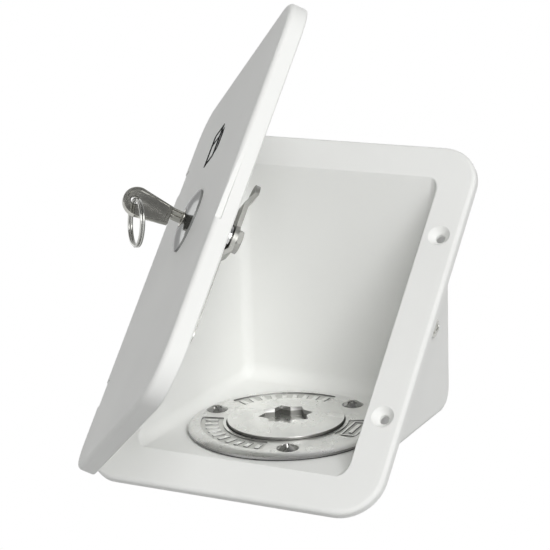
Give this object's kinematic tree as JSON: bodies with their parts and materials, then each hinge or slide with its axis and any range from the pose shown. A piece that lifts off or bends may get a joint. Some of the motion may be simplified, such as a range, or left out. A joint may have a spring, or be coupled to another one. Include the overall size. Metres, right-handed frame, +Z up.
{
  "type": "fuel filler hatch",
  "caption": "White recessed wall hatch with a lockable hinged door over a polished deck fuel filler on its sloping floor, with plug, short hose tail and key in the lock.",
  "frame": {"origin": "on the wall surface (the flange's back face), at the centre of the four wall screws", "axes": "+X to the right and +Z up as one faces the hatch, +Y into the wall; the door is stored open by 50 degrees"},
  "size_m": [0.1399, 0.1842, 0.188],
  "materials": {
    "white_plastic": "smooth moulded",
    "chromed_filler": "polished",
    "chromed": "polished",
    "stainless": "rolled",
    "zinc": "plated",
    "lock_brass": "nickel plated",
    "key_steel": "nickel plated",
    "black_rubber": "moulded"
  },
  "bodies": {
    "housing": {"housing": "white_plastic", "keeper": "stainless", "keeper_screws": "stainless", "filler_body": "chromed_filler", "filler_gasket": "black_rubber", "filler_screws": "stainless", "filler_washers": "stainless", "filler_nuts": "stainless"},
    "door": {"door": "white_plastic", "hinge_pin_top": "stainless", "hinge_pin_bottom": "stainless", "door_seal": "black_rubber", "lock_rosette": "chromed", "lock_barrel": "chromed", "lock_nut": "zinc", "lock_washer": "zinc"},
    "lock": {"lock_plug": "lock_brass", "lock_cam": "stainless", "cam_screw": "stainless"},
    "key": {"key": "key_steel"},
    "ring": {"key_ring": "key_steel"},
    "plug_carrier": {"plug_o_ring": "black_rubber"},
    "plug": {"filler_plug": "chromed_filler"}
  },
  "joints": [
    {"name": "door_hinge", "type": "hinge", "parent": "housing", "child": "door", "pos_m": [-0.0677, -0.0093, 0], "axis": [0, 0, -1], "range_deg": [-50, 60]},
    {"name": "lock_turn", "type": "hinge", "parent": "door", "child": "lock", "pos_m": [-0.02418, -0.06116, 0.007], "axis": [-0.766, -0.6428, 0], "range_deg": [0, 90]},
    {"name": "key_slide", "type": "slide", "parent": "lock", "child": "key", "axis": [-0.766, -0.6428, 0], "range_m": [0, 0.03]},
    {"name": "ring_swing", "type": "hinge", "parent": "key", "child": "ring", "pos_m": [-0.04625, -0.07967, 0.0054], "axis": [-0.6428, 0.766, 0], "range_deg": [-30, 95]},
    {"name": "plug_turn", "type": "hinge", "parent": "plug_carrier", "child": "plug", "pos_m": [0, 0.02803, -0.04147], "axis": [0, -0.7071, 0.7071], "range_deg": [0, 1080]},
    {"name": "plug_rise", "type": "slide", "parent": "housing", "child": "plug_carrier", "axis": [0, -0.7071, 0.7071], "range_m": [0, 0.0121]}
  ],
  "couplings": [
    {"joint": "plug_rise", "follows": "plug_turn", "m_per_rad": 0.00063662}
  ]
}
